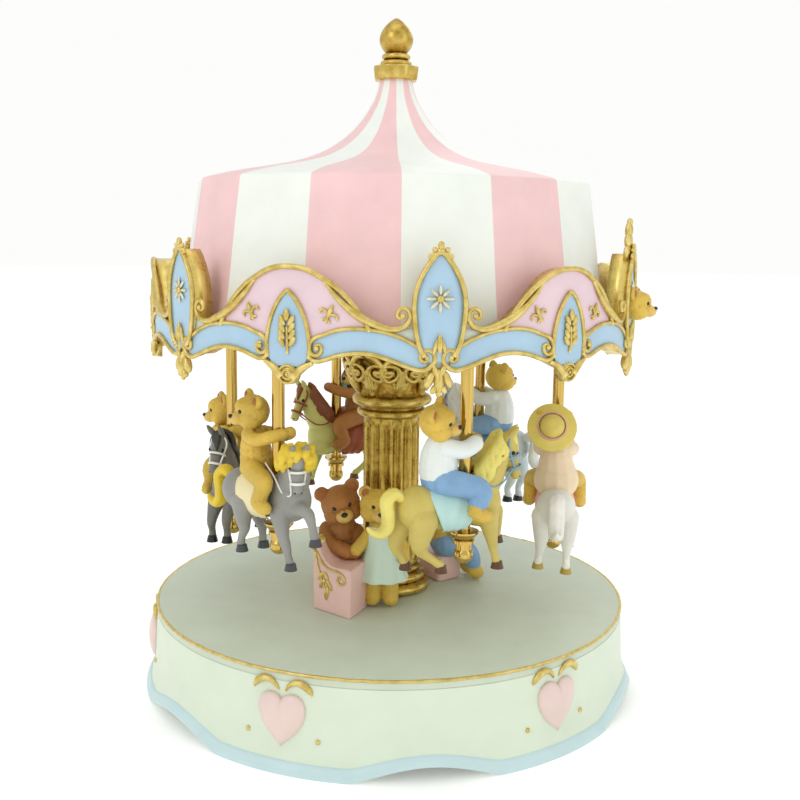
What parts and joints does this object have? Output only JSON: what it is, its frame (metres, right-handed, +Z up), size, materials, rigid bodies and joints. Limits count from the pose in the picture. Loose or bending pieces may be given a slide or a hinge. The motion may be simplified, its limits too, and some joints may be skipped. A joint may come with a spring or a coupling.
{
  "type": "carousel music box",
  "caption": "Striped-tent carousel on a round scalloped base: a wind-up movement turns the canopy, and horses with seated bears rise and fall on brass poles.",
  "frame": {"origin": "on the axis of the canopy, at the height of the lowest arcs of the hem, which the part stands on", "axes": "+Z up the axis; -Y is the front"},
  "size_m": [0.21, 0.2084, 0.2769],
  "materials": {
    "cream_resin": "hand-painted cast resin, soft satin",
    "deck_resin": "hand-painted cast resin, matte",
    "heart_pink": "pale pink painted resin",
    "gilt": "antiqued gilt paint over resin",
    "antique_gold": "antiqued gold with brown wash",
    "polished_brass": "polished",
    "movement_steel": "plain",
    "movement_brass": "satin",
    "cover_board": "dark felted closing board",
    "tent_paint": "hand-painted resin, pink and white stripes",
    "valance_paint": "hand-painted resin, pink, blue and mint fields",
    "hidden_plastic": "moulded plastic",
    "booth_pink": "pink painted resin",
    "golden_fur": "textured resin, golden fur",
    "brown_fur": "textured resin, brown fur",
    "coat_palomino": "hand-painted resin horse",
    "coat_white": "hand-painted resin horse",
    "coat_blue": "hand-painted resin horse",
    "coat_cream": "hand-painted resin horse",
    "coat_dark": "hand-painted resin horse",
    "coat_grey": "hand-painted resin horse"
  },
  "bodies": {
    "root": {"base_skirt": "cream_resin", "deck_plate": "deck_resin", "deck_rim_bead": "gilt", "heart_medallions": "heart_pink", "gilt_crescents": "gilt", "gilt_beads": "gilt", "bottom_cover": "cover_board", "cover_screws": "movement_steel", "movement_bedplate": "movement_steel", "movement_screws": "movement_steel", "movement_brackets": "movement_brass", "music_comb": "movement_steel", "column_foot": "antique_gold", "column_shaft": "antique_gold", "column_capital": "antique_gold", "centre_tube": "movement_steel", "cam_track": "hidden_plastic", "ticket_booth": "booth_pink", "brown_bear": "brown_fur", "dress_bear": "golden_fur", "pink_bench": "booth_pink", "sitting_bear": "golden_fur"},
    "canopy": {"tent_canopy": "tent_paint", "valance": "valance_paint", "ceiling_disc": "hidden_plastic", "pole_guides": "movement_brass", "drive_shaft": "movement_steel", "crown_hub": "hidden_plastic", "finial_collar": "gilt", "finial": "gilt", "bear_head_medallion": "golden_fur", "spring_barrel": "movement_brass", "mainspring": "movement_steel"},
    "pole_palomino_set": {"pole_palomino": "polished_brass", "pole_cup_palomino": "polished_brass", "horse_palomino": "coat_palomino", "rider_palomino": "golden_fur"},
    "pole_white_set": {"pole_white": "polished_brass", "pole_cup_white": "polished_brass", "horse_white": "coat_white", "rider_white": "golden_fur"},
    "pole_blue_set": {"pole_blue": "polished_brass", "pole_cup_blue": "polished_brass", "horse_blue": "coat_blue", "rider_blue": "golden_fur"},
    "pole_cream_set": {"pole_cream": "polished_brass", "pole_cup_cream": "polished_brass", "horse_cream": "coat_cream", "rider_cream": "brown_fur"},
    "pole_dark_set": {"pole_dark": "polished_brass", "pole_cup_dark": "polished_brass", "horse_dark": "coat_dark", "rider_dark": "golden_fur"},
    "pole_grey_set": {"pole_grey": "polished_brass", "pole_cup_grey": "polished_brass", "horse_grey": "coat_grey", "rider_grey": "golden_fur"},
    "key": {"winding_key": "polished_brass"},
    "cylinder": {"music_cylinder": "movement_brass"},
    "governor": {"governor_fan": "movement_brass"}
  },
  "joints": [
    {"name": "canopy_spin", "type": "hinge", "parent": "root", "child": "canopy", "pos_m": [0, 0, 0.2], "axis": [0, 0, 1], "continuous": true},
    {"name": "palomino_rise", "type": "slide", "parent": "canopy", "child": "pole_palomino_set", "axis": [0, 0, 1], "range_m": [-0.011, 0.0017]},
    {"name": "white_rise", "type": "slide", "parent": "canopy", "child": "pole_white_set", "axis": [0, 0, 1], "range_m": [0, 0.0127]},
    {"name": "blue_rise", "type": "slide", "parent": "canopy", "child": "pole_blue_set", "axis": [0, 0, 1], "range_m": [-0.011, 0.0017]},
    {"name": "cream_rise", "type": "slide", "parent": "canopy", "child": "pole_cream_set", "axis": [0, 0, 1], "range_m": [-0.011, 0.0017]},
    {"name": "dark_rise", "type": "slide", "parent": "canopy", "child": "pole_dark_set", "axis": [0, 0, 1], "range_m": [0, 0.0127]},
    {"name": "grey_rise", "type": "slide", "parent": "canopy", "child": "pole_grey_set", "axis": [0, 0, 1], "range_m": [-0.011, 0.0017]},
    {"name": "key_wind", "type": "hinge", "parent": "root", "child": "key", "pos_m": [0, 0, 0.01], "axis": [0, 0, 1], "continuous": true},
    {"name": "cylinder_spin", "type": "hinge", "parent": "root", "child": "cylinder", "pos_m": [0.027, 0, 0.027], "axis": [1, 0, 0], "continuous": true},
    {"name": "governor_spin", "type": "hinge", "parent": "root", "child": "governor", "pos_m": [-0.0176, 0, 0.02], "axis": [0, 0, 1], "continuous": true}
  ],
  "couplings": [
    {"joint": "cylinder_spin", "follows": "canopy_spin", "ratio": 2.4},
    {"joint": "governor_spin", "follows": "canopy_spin", "ratio": -4.5}
  ]
}
